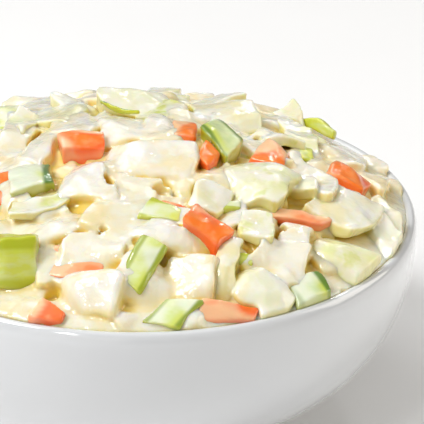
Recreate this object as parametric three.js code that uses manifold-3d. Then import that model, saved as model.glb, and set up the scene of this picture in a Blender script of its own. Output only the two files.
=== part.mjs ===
// A round white bowl heaped with chopped coleslaw: cabbage, carrot and green pieces in a creamy dressing.
// Millimetres, +Z up. The origin is the centre of the bowl's foot, on the surface that the bowl stands on.
import * as THREE from "three";
import { mergeVertices } from "three/addons/utils/BufferGeometryUtils.js";
import Module from "manifold-3d";

const wasm = await Module();
wasm.setup();

// ---- Driving dimensions ----
const BOWL = {
  radius: 62.5, // outside, at the widest
  height: 48,
  lipThickness: 3,
  lipDrop: 3.4, // how far down the lip's outer rounding reaches
  innerDepth: 42,
  outerDepth: 48.75, // where the outer curve would close, below the foot
  curve: 2.8, // how square the curve of the side is: 2 is an ellipse
  footRadius: 30,
  footWidth: 3.2,
  footRecess: 2.4,
  footChamfer: 0.6,
};
const HEAP = {
  rise: 18, // of the heap's outer surface over the rim, at the centre
  radius: 61, // where that surface would meet the rim's level
  cover: 2.8, // how far the core lies under that surface
  gap: 0.35, // between the food and the bowl
  lipClearance: 1, // how far in from the lip's crest the food stays, over the rim
  overLip: 1.2, // how high over the rim it first reaches that far out
  sideLean: 0.45, // how much of the heap's slope to its sides the pieces lie along
};
const BOWL_SEGMENTS = 60;
const HEAP_SEGMENTS = 36;

const degrees = THREE.MathUtils.degToRad;

// The same draws each time, between 0 and 1.
function makeDraw(seed) {
  let state = (seed * 48271 + 12345) % 2147483647;
  const draw = () => {
    state = (state * 16807) % 2147483647;
    return state / 2147483647;
  };
  draw();
  draw();
  return draw;
}

// ---- Solids ----
function toSolid(geometry) {
  const bare = geometry.clone();
  bare.deleteAttribute("normal");
  bare.deleteAttribute("uv");
  const merged = mergeVertices(bare, 1e-4);
  return new wasm.Manifold(
    new wasm.Mesh({
      numProp: 3,
      vertProperties: new Float32Array(merged.attributes.position.array),
      triVerts: new Uint32Array(merged.index.array),
    }),
  );
}

// The solid's largest closed shell, so that scraps and sealed hollows are left out.
function largestShell(solid) {
  const { vertProperties, triVerts } = solid.getMesh();
  const shell = Array.from({ length: vertProperties.length / 3 }, (_, i) => i);
  const root = (i) => {
    let top = i;
    while (shell[top] !== top) top = shell[top];
    shell[i] = top;
    return top;
  };
  for (let i = 0; i < triVerts.length; i += 3) {
    shell[root(triVerts[i + 1])] = root(triVerts[i]);
    shell[root(triVerts[i + 2])] = root(triVerts[i]);
  }
  const shells = new Map();
  for (let i = 0; i < triVerts.length; i += 3) {
    const key = root(triVerts[i]);
    if (!shells.has(key)) shells.set(key, []);
    shells.get(key).push(triVerts[i], triVerts[i + 1], triVerts[i + 2]);
  }
  const largest = [...shells.values()].sort((a, b) => b.length - a.length)[0];
  const geometry = new THREE.BufferGeometry();
  geometry.setAttribute("position", new THREE.BufferAttribute(vertProperties, 3));
  geometry.setIndex(largest);
  geometry.computeVertexNormals();
  return geometry;
}

// A profile of [radius, height] points, from the axis round to the axis, turned about +Z.
function turned(profile, segments) {
  const points = profile.map(([radius, height]) => new THREE.Vector2(radius, height));
  return new THREE.LatheGeometry(points, segments).rotateX(Math.PI / 2);
}

// ---- The bowl ----
// The radius of the side at a depth under the rim.
const sideRadius = (top, depth, closing) =>
  top * Math.sqrt(Math.max(0, 1 - (depth / closing) ** BOWL.curve));

const innerTop = BOWL.radius - BOWL.lipThickness;
const innerRadius = (depth) => sideRadius(innerTop, depth, BOWL.innerDepth);

// Points [radius, height] down the inside, from just under the lip to the centre of the floor.
function innerSide(steps, shrink = 0, from = BOWL.lipThickness / 2) {
  const points = [];
  for (let i = 0; i <= steps; i++) {
    const turn = (i / steps) * (Math.PI / 2);
    const depth = from + (BOWL.innerDepth - shrink - from) * Math.sin(turn) ** 0.9;
    const radius = innerRadius((depth * BOWL.innerDepth) / (BOWL.innerDepth - shrink)) - shrink;
    points.push([i === steps ? 0 : Math.max(0, radius), BOWL.height - depth]);
  }
  return points;
}

function outerSide(steps) {
  const points = [];
  const footDepth =
    BOWL.outerDepth * (1 - (BOWL.footRadius / BOWL.radius) ** 2) ** (1 / BOWL.curve);
  const from = BOWL.lipDrop;
  for (let i = 0; i <= steps; i++) {
    const depth = from + (footDepth - from) * Math.sin(((i / steps) * Math.PI) / 2);
    points.push([sideRadius(BOWL.radius, depth, BOWL.outerDepth), BOWL.height - depth]);
  }
  return points;
}

function makeBowl() {
  const lip = BOWL.lipThickness / 2;
  const crest = BOWL.radius - lip;
  const foot = BOWL.footRadius;
  const inner = innerSide(9);
  const lipArc = [];
  for (const angle of [40, 90, 130, 160]) {
    const drop = angle > 90 ? BOWL.lipDrop : lip;
    lipArc.push([
      crest - lip * Math.cos(degrees(angle)),
      BOWL.height - drop * (1 - Math.sin(degrees(angle))),
    ]);
  }
  const underFoot = [
    [foot - BOWL.footChamfer, 0],
    [foot - BOWL.footWidth + BOWL.footChamfer, 0],
    [foot - BOWL.footWidth, BOWL.footRecess],
    [0, BOWL.footRecess],
  ];
  // From the underside's centre out, up the outside, over the lip and down to the floor's centre.
  const profile = [...inner.reverse(), ...lipArc, ...outerSide(9), ...underFoot];
  return turned(profile.reverse(), BOWL_SEGMENTS);
}

// ---- The heap ----
const surfaceAt = (x, y) =>
  BOWL.height + HEAP.rise * (1 - (x * x + y * y) / (HEAP.radius * HEAP.radius));

// The core under a dome. Its side reaches past the food's room, which trims it.
function makeCore() {
  const rings = 5;
  const dome = [];
  for (let i = 0; i < rings; i++) {
    const radius = (innerTop * i) / rings;
    dome.push([radius, surfaceAt(radius, 0) - HEAP.cover]);
  }
  const side = [[innerTop, BOWL.height - HEAP.cover], [innerTop, 0], [0, 0]];
  return turned([...dome, ...side].reverse(), HEAP_SEGMENTS);
}

// What the food may fill: the bowl's inside less the gap, and over the rim the room inside the lip's crest.
function makeRoom() {
  const crest = BOWL.radius - BOWL.lipThickness / 2 - HEAP.lipClearance;
  const top = BOWL.height + HEAP.rise * 2;
  const over = [[0, top], [crest, top], [crest, BOWL.height + HEAP.overLip]];
  return turned([...over, ...innerSide(7, HEAP.gap)].reverse(), HEAP_SEGMENTS);
}

// A piece as a block of steps x steps cells on both faces, which are split alike.
// u runs along its length and v across it, each from -1 to 1.
function blockGeometry(across, along, pointAt) {
  const positions = [];
  const faces = [];
  const columns = along + 1;
  const count = columns * (across + 1);
  for (const side of [1, -1]) {
    for (let j = 0; j <= across; j++) {
      for (let i = 0; i <= along; i++) {
        positions.push(...pointAt((2 * i) / along - 1, (2 * j) / across - 1, side));
      }
    }
  }
  const quad = (a, b, c, d) => faces.push(a, b, c, a, c, d);
  for (let j = 0; j < across; j++) {
    for (let i = 0; i < along; i++) {
      const a = j * columns + i;
      quad(a, a + 1, a + columns + 1, a + columns);
      faces.push(a + count, a + columns + 1 + count, a + 1 + count);
      faces.push(a + count, a + columns + count, a + columns + 1 + count);
    }
  }
  const edge = [];
  for (let i = 0; i < along; i++) edge.push(i);
  for (let j = 0; j < across; j++) edge.push(j * columns + along);
  for (let i = along; i > 0; i--) edge.push(across * columns + i);
  for (let j = across; j > 0; j--) edge.push(j * columns);
  edge.forEach((a, k) => {
    const b = edge[(k + 1) % edge.length];
    quad(a, a + count, b + count, b);
  });
  const geometry = new THREE.BufferGeometry();
  geometry.setAttribute("position", new THREE.Float32BufferAttribute(positions, 3));
  geometry.setIndex(faces);
  return geometry;
}

// How each kind is cut: its cells, how ragged its corners are, how much its faces swell and its thickness
// changes, how steeply its top falls off beyond its creases, and how far its underside follows them.
const CUTS = {
  chunk: { along: 2, across: 2, ragged: 0.3, swell: 0.1, wedge: 0.35, crease: 0.4, follow: 0 },
  slab: { along: 2, across: 2, ragged: 0.4, swell: 0.04, wedge: 0.45, crease: 0.45, follow: 0.7 },
  leaf: { along: 2, across: 1, ragged: 0.4, swell: 0, wedge: 0.4, crease: 0.55, follow: 1 },
  dice: { along: 1, across: 1, ragged: 0.25, swell: 0.02, wedge: 0.2, crease: 0, follow: 0 },
};
const THINNEST = 0.8; // what is left of a piece where its top falls off
const CREASES = 3;
const WAVE_DRAWS = 12; // drawn for a piece's outline, which is left straight here

// Which way a piece's creases run, how far from its middle they are and how steep.
function makeCreases(piece, draw) {
  const creases = [];
  for (let k = 0; k < CREASES; k++) {
    const direction = 2 * Math.PI * draw();
    const offset = (piece.width / 2) * (0.1 + 0.5 * draw());
    const slope = CUTS[piece.cut].crease * (0.2 + 0.8 * draw());
    creases.push((x, y) =>
      slope * Math.max(0, x * Math.cos(direction) + y * Math.sin(direction) - offset),
    );
  }
  return creases;
}

// The corners of a piece's outline: ragged, skewed, and narrowed at the far end. A negative taper narrows the
// near end.
function makeCorners(piece, draw) {
  const { ragged } = CUTS[piece.cut];
  const corners = [];
  for (const [u, v] of [[-1, -1], [1, -1], [1, 1], [-1, 1]]) {
    const scaleU = 1 + ragged * (0.5 - draw());
    const scaleV = 1 + ragged * (0.5 - draw());
    const end = piece.taper > 0 ? 1 + u : u - 1;
    const narrowed = 1 - (piece.taper * end) / 2;
    const x = (u * scaleU * piece.length) / 2 + (v * piece.skew) / 2;
    const y = (v * scaleV * narrowed * piece.width) / 2;
    corners.push([x, y]);
  }
  return corners;
}

// A piece in its own frame, with its outline, bend, swollen faces and creases.
function pieceGeometry(piece, draw) {
  const cut = CUTS[piece.cut];
  const corners = makeCorners(piece, draw);
  const wedge = cut.wedge * (2 * draw() - 1);
  for (let k = 0; k < WAVE_DRAWS; k++) draw();
  const creases = makeCreases(piece, draw);
  const pointAt = (u, v, side) => {
    const weights = [(1 - u) * (1 - v), (1 + u) * (1 - v), (1 + u) * (1 + v), (1 - u) * (1 + v)];
    let x = 0;
    let y = 0;
    weights.forEach((weight, k) => {
      x += (weight / 4) * corners[k][0];
      y += (weight / 4) * corners[k][1];
    });
    const spread = Math.min(2, ((2 * x) / piece.length) ** 2 + ((2 * y) / piece.width) ** 2);
    const bent = piece.bend * (spread - 0.6);
    const half = (piece.thick / 2) * (1 + (wedge * 2 * x) / piece.length - cut.swell * spread);
    const fall = creases.reduce((total, crease) => total + crease(x, y), 0);
    const bottom = -half - cut.follow * fall;
    const top = Math.max(half - fall, bottom + THINNEST);
    return [x, y, bent + (side > 0 ? top : bottom)];
  };
  return blockGeometry(cut.across, cut.along, pointAt);
}

// Moves a piece from its own frame onto the heap: its shown face's middle over x and y, turned and tilted.
function placeOnHeap(geometry, piece) {
  const { x, y } = piece;
  const slope = (2 * HEAP.rise) / (HEAP.radius * HEAP.radius);
  const normal = new THREE.Vector3(HEAP.sideLean * slope * x, slope * y, 1).normalize();
  const turn = degrees(piece.turn);
  const along = new THREE.Vector3(Math.cos(turn), Math.sin(turn), 0);
  along.addScaledVector(normal, -along.dot(normal)).normalize();
  const across = new THREE.Vector3().crossVectors(normal, along);
  const onSurface = new THREE.Matrix4().makeBasis(along, across, normal);
  const leaned = new THREE.Matrix4().makeRotationY(degrees(piece.lean)).multiply(onSurface);
  const placed = new THREE.Matrix4().makeRotationX(degrees(piece.tip)).multiply(leaned);
  const up = new THREE.Vector3().setFromMatrixColumn(placed, 2);
  const face = new THREE.Vector3(x, y, surfaceAt(x, y) + piece.lift);
  placed.setPosition(face.addScaledVector(up, -piece.thick / 2));
  return geometry.applyMatrix4(placed);
}

// The pieces on the side that is seen first, each in millimetres and degrees. x and y are the shown face's
// middle, turn is its length's direction, tip and lean are how far it is tilted to the front and right, and
// lift is its height over the heap's outer surface. What a row leaves out is 0.
const FIELDS = [
  "cut", "x", "y", "length", "width", "thick", "turn", "lift", "taper", "skew", "bend", "tip", "lean",
];
const CABBAGE_SPREAD = 1.14; // how much further than its row says a cabbage or leaf piece reaches
const CABBAGE = [
  ["slab", -18, -35, 17, 9, 3.5, 15, 1.2, 0.2, -4],
  ["slab", -17, -44, 5, 9, 3, -5, 0.8],
  ["slab", -8, -43, 11, 9, 3, -10, 1.3, 0.2, 0, 0.5],
  ["slab", -24, -53, 11, 7, 4, -10, 0.2],
  ["chunk", -10, -54, 12, 9, 10, -20, 2.2, 0, -2, 0, 22, -24],
  ["slab", -4, -33, 11, 12, 4, -30, 1, 0, -2, 0.5],
  ["slab", -11, -22, 10, 12, 3.5, -15, 1.3, 0.2, -3],
  ["slab", -29, -2, 8, 12, 4, 0, 1, 0.2],
  ["slab", -22, -5, 5, 16, 4, -15, 1.2],
  ["slab", -3, 3, 9, 16, 4, -10, 1, 0.2, -3],
  ["slab", -14, 5, 9, 12, 3, -15, 0.6],
  ["chunk", 5, 3, 6, 9, 4, -10, 1.2],
  ["chunk", 5, -4, 7, 5, 3, 5, 0.9],
  ["chunk", 3, -15, 17, 10, 7, -5, 2, 0, 0, 0, 8],
  ["slab", 0, -24, 8, 6, 3, -20, 0.6],
  ["chunk", 29, 5, 5, 7, 4, -15, 1.5, 0.2],
  ["slab", 37, -13, 10, 12, 4, -30, 1.6, 0.2, -3, 0.6],
  ["chunk", 35, -3, 3, 5, 3, 10, 1.8],
  ["slab", 7, -41, 13, 6, 3.5, -25, 1.4, 0.2],
  ["slab", 29, -41, 11, 9, 3, -15, 0.9, 0, 0, 1],
  ["chunk", 33, -34, 6, 8, 4, -15, 1.6],
  ["slab", 2, -50, 12, 10, 4, -20, 0.8, 0, 2, -0.6],
  ["chunk", 10, -50, 8, 10, 6, -20, 1.2, 0, 0, 0, 10, -20],
  ["chunk", -1, -58, 4, 4, 4, -15, 0.3],
  ["chunk", 11, -58, 3, 4, 4, -5, 0.2],
  ["slab", 28, -47, 8, 7, 3, -45, 0.3],
  ["slab", 46, 10, 12, 9, 3.5, 5, 1.2, 0, 3],
  ["slab", 53, 3, 8, 8, 3, -50, 1, -0.2, -3],
  ["slab", 22, 27, 14, 12, 4, 20, 0.8, 0.2],
  ["slab", -24, 30, 13, 12, 4, 50, 0.6, 0.2],
];
const LEAVES = [
  ["leaf", -20, -28, 11, 4, 2, 20, 0.9, 0.2, 3, 0.8],
  ["leaf", -31, 17, 9, 12, 3, -20, 1.6, 0, -4, 0, 20],
  ["leaf", -26, 10, 6, 12, 2, -50, 2.2, -0.4, -6, 1],
  ["leaf", -18, 13, 10, 14, 3, -10, 0.9, -0.3],
  ["leaf", -1, 18, 15, 13, 4, -10, 3, -0.2, -3, -0.8, 16],
  ["leaf", 20, 13, 15, 14, 4, -20, 1.8, -0.2, -4, -0.5, 10],
  ["leaf", 36, 28, 5, 9, 2, 70, 2.8, 0.6, 3, 0.6, 45],
  ["leaf", 23, -19, 15, 15, 3.5, -15, 1.6, 0.3, 2, -1],
  ["leaf", 15, -26, 6, 8, 3, -20, 1.2],
  ["leaf", 10, -35, 7, 6, 2.5, -15, 1.4],
  ["leaf", 3, -38, 6, 5, 2.5, -10, 1],
  ["leaf", 24, -34, 7, 8, 2.5, -25, 1.2, 0, -2, 0.7],
  ["leaf", 18, -46, 5, 14, 3, -15, 1.4, 0, -3, -0.8],
  ["leaf", 24, -50, 12, 9, 3, -40, 1.4, 0, -2, -1],
  ["leaf", 44, -20, 12, 13, 3, -20, 2, -0.2, 2, 1.2],
  ["leaf", 54, -14, 9, 10, 2.5, -45, 1.4, 0.4, -4, 0.4],
  ["leaf", 52, -24, 8, 11, 2.5, -30, 1.2, 0, 0, 0.4],
  ["leaf", 43, -35, 13, 12, 3, -25, 1.2, 0.3, 0, -0.6],
  ["leaf", 37, 12, 7, 14, 3, -15, 1, 0.2, -5, 0.5],
  ["leaf", 4, 32, 15, 11, 3, 10, 0.8, 0.2],
];
const CARROTS = [
  ["dice", -30, -21, 6, 12, 5, 5, 0.9],
  ["dice", -12, -45, 12, 9, 3.5, -20, 0.6, 0.2],
  ["dice", -18, -56, 7, 6, 5, -25, 0.8, 0.5],
  ["dice", -12, -7, 10, 7, 5, 0, 1.8],
  ["dice", 29, -7, 8, 10, 6, -35, 1.8, 0.15, -2],
  ["dice", 14, -12, 5, 7, 4, -50, 1.2, 0.2, -3],
  ["dice", 10, -1, 5, 8, 4, -20, 0.8, 0, -2],
  ["dice", 14, -38, 10, 9, 6, -40, 3.2, 0.4, -3, 0, -8, 10],
  ["dice", 8, -31, 6, 2, 2.5, -10, 0.9, 0.3],
  ["dice", 18, -56, 11, 5, 5, 5, 0.9, 0.3],
  ["dice", 34, -27, 12, 3.5, 3, -4, 1, 0.3, 2],
  ["dice", 47, -5, 9, 9, 5, -20, 1.8, 0, 0, 0, 0, 10],
];
const GREENS = [
  ["dice", -25, -46, 10, 9, 5.5, 0, 3, 0, 0, 0, 50],
  ["dice", -23, -20, 10, 9, 5, -85, 1.6, 0, -3],
  ["dice", 1, -48, 11, 5.5, 3.5, -115, 2, 0.2],
  ["dice", 7, -57, 8, 7, 3.5, -125, 1, 0, -3],
  ["dice", 6, -34, 9, 7, 4, -25, 1.4, 0.3],
  ["dice", 18, -4, 10, 8, 6.5, 120, 2.6, 0, -4],
  ["dice", 18, -27, 5, 3, 2, 5, 0.4],
  ["dice", 21, -43, 5, 3, 2],
  ["dice", 42, 25, 13, 2.5, 2.5, -58, 2.6, 0.2],
  ["dice", -4, 11, 10, 1, 1.4, -33, 2.6, 0.2],
  ["dice", 35, -47, 8, 9, 6, -60, 1.2, -0.2],
  ["dice", 38, 3, 3, 8, 2.5, 15, 0.2, 0, 2],
];

// The rest of the heap's cover: spots on a sunflower spiral, with the ones that are taken left out. A pair is
// the least and the most that is drawn.
const COVER = {
  spots: 300,
  edge: 55.5,
  crowding: 0.23, // how near two pieces may lie, against their lengths together
  diceCrowding: 0.6, // the same for a cover's dice against the pieces that are placed by hand
  diceSize: 0.7, // against the other pieces
  length: [12, 19],
  width: [8.5, 12.5],
  thick: [3.5, 5.5],
  leafThick: [2.5, 3.5],
  leafBend: [-0.96, 1.44],
  turn: [0, 360],
  tilt: [-15, 15],
  lift: [-0.7, 0.9],
  taper: [0, 0.5],
  skew: [-2.5, 2.5],
  seed: 2027,
};
// Up to which share of the draws each cut is taken.
const COVER_SHARES = [
  ["dice", 0.24],
  ["chunk", 0.45],
  ["slab", 0.8],
  ["leaf", 1],
];
const PIECE_SEED = 501;
const PIECE_SEED_STEP = 17;

function piecesOf(rows, spread = 1) {
  return rows.map((row) => {
    const piece = Object.fromEntries(FIELDS.map((field, i) => [field, row[i] ?? 0]));
    piece.length *= spread;
    piece.width *= spread;
    return piece;
  });
}

// Whether a piece keeps its distance from the others.
function clearOf(piece, others, crowding) {
  const reach = (other) => crowding * (other.length + piece.length);
  return others.every((other) => Math.hypot(other.x - piece.x, other.y - piece.y) > reach(other));
}

function coverPieces(taken) {
  const draw = makeDraw(COVER.seed);
  const between = ([least, most]) => least + (most - least) * draw();
  const placed = [];
  const goldenTurn = Math.PI * (3 - Math.sqrt(5));
  for (let i = 0; i < COVER.spots; i++) {
    const radius = COVER.edge * Math.sqrt((i + 0.5) / COVER.spots);
    const share = draw();
    const [cut] = COVER_SHARES.find(([, upTo]) => share < upTo);
    const size = cut === "dice" ? COVER.diceSize : 1;
    const piece = {
      cut,
      x: radius * Math.cos(i * goldenTurn),
      y: radius * Math.sin(i * goldenTurn),
      length: size * between(COVER.length),
      width: size * between(COVER.width),
      thick: between(cut === "leaf" ? COVER.leafThick : COVER.thick),
      turn: between(COVER.turn),
      tip: between(COVER.tilt),
      lean: between(COVER.tilt),
      bend: cut === "leaf" ? between(COVER.leafBend) : 0,
      lift: between(COVER.lift),
      taper: between(COVER.taper),
      skew: between(COVER.skew),
    };
    draw(); // the strength of its colour
    const crowding = cut === "dice" ? COVER.diceCrowding : COVER.crowding;
    if (clearOf(piece, taken, crowding) && clearOf(piece, placed, COVER.crowding)) placed.push(piece);
  }
  return placed;
}

function makeSlaw() {
  const shown = [...piecesOf([...CABBAGE, ...LEAVES], CABBAGE_SPREAD), ...piecesOf([...CARROTS, ...GREENS])];
  const all = [...shown, ...coverPieces(shown)];
  const solids = all.map((piece, i) => {
    const draw = makeDraw(PIECE_SEED + PIECE_SEED_STEP * i);
    return toSolid(placeOnHeap(pieceGeometry(piece, draw), piece));
  });
  const heap = wasm.Manifold.union([toSolid(makeCore()), ...solids]).intersect(toSolid(makeRoom()));
  return largestShell(heap);
}

// ---- The scene graph ----
function named(name, geometry, material) {
  const mesh = new THREE.Mesh(geometry, new THREE.MeshStandardMaterial(material));
  mesh.name = name;
  return mesh;
}

const coleslaw = new THREE.Group();
coleslaw.add(named("bowl", makeBowl(), { color: "#f4f4f2", roughness: 0.12, metalness: 0 }));
coleslaw.add(named("slaw", makeSlaw(), { color: "#f3ecd6", roughness: 0.35, metalness: 0 }));

export default coleslaw;
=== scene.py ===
"""A white bowl heaped with creamy chopped coleslaw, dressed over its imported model.

Lengths inside the shape functions are millimetres, in the model's own frame; meshes are made in metres.
"""

import math

import bpy
import numpy as np
from mathutils import Matrix, Vector


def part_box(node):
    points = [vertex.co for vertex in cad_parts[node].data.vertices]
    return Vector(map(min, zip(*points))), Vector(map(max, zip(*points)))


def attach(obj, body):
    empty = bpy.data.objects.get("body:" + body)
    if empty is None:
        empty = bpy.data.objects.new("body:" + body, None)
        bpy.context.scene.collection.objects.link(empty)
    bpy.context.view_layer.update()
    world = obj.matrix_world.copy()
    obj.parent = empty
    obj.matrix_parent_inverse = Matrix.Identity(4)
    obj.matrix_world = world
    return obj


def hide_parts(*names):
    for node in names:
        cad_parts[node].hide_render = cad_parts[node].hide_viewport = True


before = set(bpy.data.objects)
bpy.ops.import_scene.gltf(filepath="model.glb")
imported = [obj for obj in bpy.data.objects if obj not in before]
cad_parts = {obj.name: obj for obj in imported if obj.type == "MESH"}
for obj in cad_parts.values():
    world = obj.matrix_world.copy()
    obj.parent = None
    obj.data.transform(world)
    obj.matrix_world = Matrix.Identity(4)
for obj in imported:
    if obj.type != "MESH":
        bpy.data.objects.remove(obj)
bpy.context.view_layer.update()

MM = 0.001
FULL_TURN = 6.3  # in radians, near enough for a drawn phase
DRAW_RANGE = 2**31 - 1

# ---- Driving dimensions, in millimetres ----
bowl_low, bowl_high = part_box("bowl")
BOWL_RADIUS = (bowl_high[0] - bowl_low[0]) / 2 / MM
BOWL_HEIGHT = (bowl_high[2] - bowl_low[2]) / MM
LIP_THICKNESS = 3.0
LIP_DROP = 3.4  # how far down the lip's outer rounding reaches
INNER_DEPTH = 42.0
OUTER_DEPTH = 48.75  # where the outer curve would close, below the foot
SIDE_CURVE = 2.8  # how square the curve of the side is: 2 is an ellipse
FOOT_RADIUS = 30.0
FOOT_WIDTH = 3.2
FOOT_RECESS = 2.4
FOOT_ROUNDING = 0.6
FOOT_LEAN = 0.7  # how far the wall of the recess leans in
WALL_SPACING = 0.9  # the power that spaces the steps down the inner wall
BOWL_SEGMENTS = 256

HEAP_RISE = 18.0  # of the heap's outer surface over the rim, at the centre
HEAP_RADIUS = 61.0  # where that surface meets the rim's level
HEAP_COVER = 3.0  # how far the dressing lies under that surface
EDGE_COVER = 1.0  # the same, at the bowl's edge
EDGE_BAND = (45, 58)  # the radii between which the one turns to the other
HEAP_GAP = 0.35  # between the core and the bowl
CORE_DROP = 3.0  # how far under the rim the core's wall ends
CORE_SINK = 1.2  # how far the core's dome lies under the dressing
CORE_SEGMENTS = 128
WALL_REACH = 0.15  # how far the food's surface reaches into the bowl's, so that no gap shows
LIP_CLEARANCE = 0.3  # how far in from the lip's crest the food stays, over the rim
INNER_TOP = BOWL_RADIUS - LIP_THICKNESS

# ---- How finely the food is made, in millimetres ----
GRID_LOW = 43.0
GRID_HIGH = 72.0
GRID_REACH = 61.0  # from the axis
GRID_MARGIN = 1.5  # round a piece
FAR_AWAY = 9.0  # a field's value where no piece is near
FOOD_BOTTOM = 45.0  # the food's surface is left out below this
COATED_CELL = 0.52
LEAF_CELL = 0.4
DICE_CELL = 0.36
COATED_BLEND = 0.6  # how wide the fillets between the coated pieces are
UNDER_BLEND = 0.7  # the same between the bits under them, which lie lower than UNDER_LIFT
UNDER_LIFT = -0.45
COATED_GROW = -0.22  # the dressing joins a coloured piece as if it were this much smaller
HIDDEN_DEPTH = 0.25  # how far inside a coloured piece the coated surface is left out
COVERED_DEPTH = 0.6  # how far inside the coated surface a coloured piece's own is left out
COLOURED_DEPTH = 5.5  # how far under the heap's outer surface a coloured piece is left out
FILM_REACH = 3.0  # how near the white pieces a coloured one is smeared with dressing
# Each reach gives a mask that places painted shade in gaps and deep hollows.
HOLLOW_REACHES = (1.6, 4.0, 7.5)  # within which each shade tells how enclosed a point is
# Steep sides get painted shade through this share of the widest mask.
STEEP_SHARE = 0.6  # how much of the widest shade goes by how steep the surface is
SOFTEN_ROUNDS = 2
DRESSING_TINT = 0.5  # where no piece is nearer than the dressing
RIPPLE_WAVES = 8
# Ripples, each with its seed, its wave and its height.
COATED_RIPPLES = ((5, 6.5, 0.1), (6, 2.6, 0.03))
COLOURED_RIPPLES = ((9, 3.5, 0.05),)
SHIFTS = [((seed, 16.0, 0.9), (seed + 7, 6.0, 0.2)) for seed in (401, 402, 403)]  # along X, Y and Z


# ---- Draws and ripples ----
def make_draw(seed):
    """The same draws each time, between 0 and 1."""
    state = (seed * 48271 + 12345) % DRAW_RANGE

    def draw():
        nonlocal state
        state = (state * 16807) % DRAW_RANGE
        return state / DRAW_RANGE

    draw()
    draw()
    return draw


def between(draw, limits):
    least, most = limits
    return least + (most - least) * draw()


def make_ripple(seed, wave):
    """A smooth random function of place, about -1 to 1, whose bumps are about half a wave across."""
    draw = make_draw(seed)
    waves = []
    for _ in range(RIPPLE_WAVES):
        up = 2 * draw() - 1
        turn = 2 * math.pi * draw()
        level = math.sqrt(1 - up * up)
        rate = 2 * math.pi / (wave * (0.65 + 0.8 * draw()))
        phase = FULL_TURN * draw()
        waves.append((rate * level * math.cos(turn), rate * level * math.sin(turn), rate * up, phase))

    def ripple(x, y, z):
        total = 0
        for rate_x, rate_y, rate_z, phase in waves:
            total = total + np.sin(rate_x * x + rate_y * y + rate_z * z + phase)
        return total / math.sqrt(2 * RIPPLE_WAVES)

    return ripple


def uneven(x, y, z, ripples):
    """The sum of some ripples at a place."""
    total = sum(height * make_ripple(seed, wave)(x, y, z) for seed, wave, height in ripples)
    return total.astype(np.float32)


# ---- The pieces of the heap ----
# Rows in millimetres and degrees, with the cut first where cuts differ, and 0 for what an end leaves out: x
# and y of the shown face's middle, length, width, thickness, the length's direction, the height over the
# heap's outer surface, how strong its own colour is, taper, skew, bend, and tilt to the front and right.
LEFT_OUT = ("taper", "skew", "bend", "tip", "lean")
FIELDS = ("x", "y", "length", "width", "thick", "turn", "lift", "tint", *LEFT_OUT)
CABBAGE_SPREAD = 1.14  # how much longer and wider than its row a cabbage or leaf piece is
CABBAGE = [
    ("slab", -18, -35, 17, 9, 3.5, 15, 1.2, 0.3, 0.2, -4),
    ("slab", -17, -44, 5, 9, 3, -5, 0.8, 0.5),
    ("slab", -8, -43, 11, 9, 3, -10, 1.3, 0.4, 0.2, 0, 0.5),
    ("slab", -24, -53, 11, 7, 4, -10, 0.2, 0.6),
    ("chunk", -10, -54, 12, 9, 10, -20, 2.2, 0, 0, -2, 0, 22, -24),
    ("slab", -4, -33, 11, 12, 4, -30, 1, 0.5, 0, -2, 0.5),
    ("slab", -11, -22, 10, 12, 3.5, -15, 1.3, 0.2, 0.2, -3),
    ("slab", -29, -2, 8, 12, 4, 0, 1, 0.2, 0.2),
    ("slab", -22, -5, 5, 16, 4, -15, 1.2, 0.3),
    ("slab", -3, 3, 9, 16, 4, -10, 1, 0.2, 0.2, -3),
    ("slab", -14, 5, 9, 12, 3, -15, 0.6, 0.2),
    ("chunk", 5, 3, 6, 9, 4, -10, 1.2, 0.3),
    ("chunk", 5, -4, 7, 5, 3, 5, 0.9, 0.7),
    ("chunk", 3, -15, 17, 10, 7, -5, 2, 0, 0, 0, 0, 8),
    ("slab", 0, -24, 8, 6, 3, -20, 0.6, 0.5),
    ("chunk", 29, 5, 5, 7, 4, -15, 1.5, 0.3, 0.2),
    ("slab", 37, -13, 10, 12, 4, -30, 1.6, 0.3, 0.2, -3, 0.6),
    ("chunk", 35, -3, 3, 5, 3, 10, 1.8, 0.2),
    ("slab", 7, -41, 13, 6, 3.5, -25, 1.4, 0.2, 0.2),
    ("slab", 29, -41, 11, 9, 3, -15, 0.9, 0.3, 0, 0, 1),
    ("chunk", 33, -34, 6, 8, 4, -15, 1.6, 0.2),
    ("slab", 2, -50, 12, 10, 4, -20, 0.8, 0.2, 0, 2, -0.6),
    ("chunk", 10, -50, 8, 10, 6, -20, 1.2, 0.2, 0, 0, 0, 10, -20),
    ("chunk", -1, -58, 4, 4, 4, -15, 0.3, 0.2),
    ("chunk", 11, -58, 3, 4, 4, -5, 0.2, 0.3),
    ("slab", 28, -47, 8, 7, 3, -45, 0.3, 0.6),
    ("slab", 46, 10, 12, 9, 3.5, 5, 1.2, 0.5, 0, 3),
    ("slab", 53, 3, 8, 8, 3, -50, 1, 0.5, -0.2, -3),
    ("slab", 22, 27, 14, 12, 4, 20, 0.8, 0.4, 0.2),
    ("slab", -24, 30, 13, 12, 4, 50, 0.6, 0.4, 0.2),
]
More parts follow.
